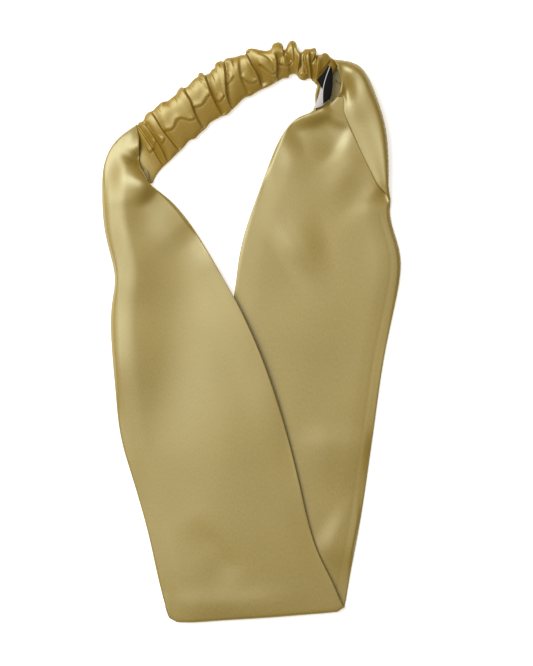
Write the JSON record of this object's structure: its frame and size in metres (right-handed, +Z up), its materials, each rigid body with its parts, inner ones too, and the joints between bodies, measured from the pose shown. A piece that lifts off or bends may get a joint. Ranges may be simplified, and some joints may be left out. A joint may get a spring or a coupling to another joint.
{
  "type": "elastic-back fabric headband",
  "caption": "Wide satin headband, a flat tube folded once at the front, its gathered ends joined at the back by a ruched elastic casing.",
  "frame": {"origin": "on the surface that the headband lies on, under the middle of its bounding box", "axes": "+Z up from that surface, +Y from the front fold towards the elastic at the back, +X to the side that the lower half leans to"},
  "size_m": [0.1272, 0.2514, 0.0101],
  "materials": {
    "satin": "butter-gold silk satin, smooth, with a soft directional sheen",
    "thread": "matching polyester sewing thread",
    "elastic": "white braided flat elastic",
    "label_black": "black woven label, blank",
    "label_white": "off-white printed ribbon, blank"
  },
  "bodies": {
    "lower_half": {"lower_outer_layer": "satin", "lower_inner_layer": "satin", "lower_seam_thread": "thread", "right_end_stitches": "thread", "right_elastic_tack": "thread", "label_stitches": "thread", "fold_outer_turn": "satin", "fold_inner_turn": "satin", "casing_tube": "satin", "casing_seam_thread": "thread", "elastic_strip": "elastic"},
    "upper_half": {"upper_inner_layer": "satin", "upper_outer_layer": "satin", "upper_seam_thread": "thread", "left_end_stitches": "thread", "left_elastic_tack": "thread"},
    "care_label": {"care_label": "label_white"},
    "brand_label": {"brand_label": "label_black"}
  },
  "joints": [
    {"name": "front_fold", "type": "hinge", "parent": "lower_half", "child": "upper_half", "pos_m": [0.00364, -0.12051, 0.0026], "axis": [0.9976, 0.0698, 0], "range_deg": [0, 40], "deforming": ["casing_tube", "casing_seam_thread", "elastic_strip", "fold_outer_turn", "fold_inner_turn"]},
    {"name": "care_label_flap", "type": "hinge", "parent": "lower_half", "child": "care_label", "pos_m": [0.03414, 0.10938, 0.00855], "axis": [0.0872, 0.9962, 0], "range_deg": [0, 60]},
    {"name": "brand_label_flap", "type": "hinge", "parent": "care_label", "child": "brand_label", "pos_m": [0.03414, 0.10938, 0.00925], "axis": [0.0872, 0.9962, 0], "range_deg": [0, 60]}
  ]
}
